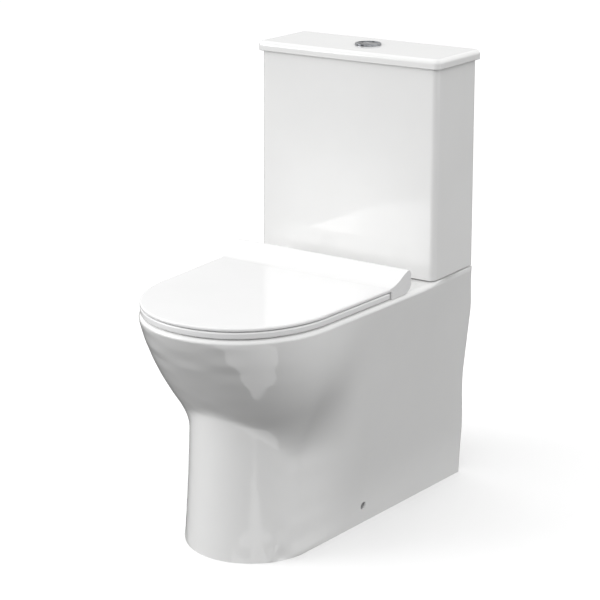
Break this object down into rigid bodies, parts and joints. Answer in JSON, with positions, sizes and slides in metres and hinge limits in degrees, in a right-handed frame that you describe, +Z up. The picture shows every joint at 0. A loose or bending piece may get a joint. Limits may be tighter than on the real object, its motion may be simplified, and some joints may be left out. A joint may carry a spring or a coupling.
{
  "type": "close coupled toilet",
  "caption": "White close coupled toilet: shrouded pan on a straight-sided foot, thin D-shaped seat and lid with an upswept rear, cistern with overhanging lid and round chrome flush button.",
  "frame": {"origin": "on the floor under the middle of the whole toilet", "axes": "+Z up, the front of the toilet faces -Y, the wall is at +Y"},
  "size_m": [0.375, 0.6518, 0.8054],
  "materials": {
    "ceramic": "glossy white glaze",
    "seat_plastic": "glossy white",
    "chrome": "polished",
    "steel": "satin",
    "brass": "satin",
    "rubber": "matt black",
    "grey_plastic": "matt grey",
    "white_plastic": "matt white",
    "blue_plastic": "matt blue"
  },
  "bodies": {
    "base": {"pan": "ceramic", "cistern": "ceramic", "hinge_posts": "chrome", "hinge_pins": "steel", "hinge_bolts": "steel", "hinge_bushes": "rubber", "hinge_nuts": "white_plastic", "floor_brackets": "grey_plastic", "bracket_screws": "steel", "side_fixing_screws": "steel", "coupling_gasket": "rubber", "bearing_pads": "rubber", "coupling_bolts": "steel", "bolt_seals": "rubber", "bolt_washers": "steel", "wing_nuts": "brass", "wall_spacers": "white_plastic", "wall_screw_washers": "rubber", "wall_screws": "steel", "flush_valve_washer": "rubber", "flush_valve_base": "white_plastic", "flush_valve_nut": "white_plastic", "flush_valve_tower": "white_plastic", "flush_valve_head": "blue_plastic", "fill_valve": "white_plastic", "fill_valve_washer": "rubber", "fill_valve_nut": "white_plastic", "fill_valve_cap": "blue_plastic"},
    "seat": {"seat_ring": "seat_plastic", "seat_buffers": "white_plastic"},
    "lid": {"seat_lid": "seat_plastic", "lid_buffers": "white_plastic"},
    "cistern_cover": {"cistern_lid": "ceramic", "button_bezel": "chrome", "bezel_nut": "white_plastic", "full_button_spring": "steel", "half_button_spring": "steel"},
    "full_button": {"full_flush_button": "chrome"},
    "half_button": {"half_flush_button": "chrome"},
    "flush_plunger": {"overflow_tube": "grey_plastic", "flush_seal": "rubber"},
    "float": {"fill_float": "grey_plastic"}
  },
  "joints": [
    {"name": "seat_hinge", "type": "hinge", "parent": "base", "child": "seat", "pos_m": [0, 0.067, 0.434], "axis": [-1, 0, 0], "range_deg": [0, 95]},
    {"name": "lid_hinge", "type": "hinge", "parent": "seat", "child": "lid", "pos_m": [0, 0.067, 0.434], "axis": [1, 0, 0], "range_deg": [-95, 0]},
    {"name": "cistern_cover_lift", "type": "slide", "parent": "base", "child": "cistern_cover", "axis": [0, 0, 1], "range_m": [0, 0.12]},
    {"name": "full_flush_press", "type": "slide", "parent": "cistern_cover", "child": "full_button", "axis": [0, 0, -1], "range_m": [0, 0.006], "stiffness_N_per_m": 200, "springref_m": -0.004, "deforming": ["full_button_spring"]},
    {"name": "half_flush_press", "type": "slide", "parent": "cistern_cover", "child": "half_button", "axis": [0, 0, -1], "range_m": [0, 0.006], "stiffness_N_per_m": 200, "springref_m": -0.004, "deforming": ["half_button_spring"]},
    {"name": "flush_valve_lift", "type": "slide", "parent": "base", "child": "flush_plunger", "axis": [0, 0, 1], "range_m": [0, 0.02]},
    {"name": "float_rise", "type": "slide", "parent": "base", "child": "float", "axis": [0, 0, 1], "range_m": [0, 0.08]}
  ]
}
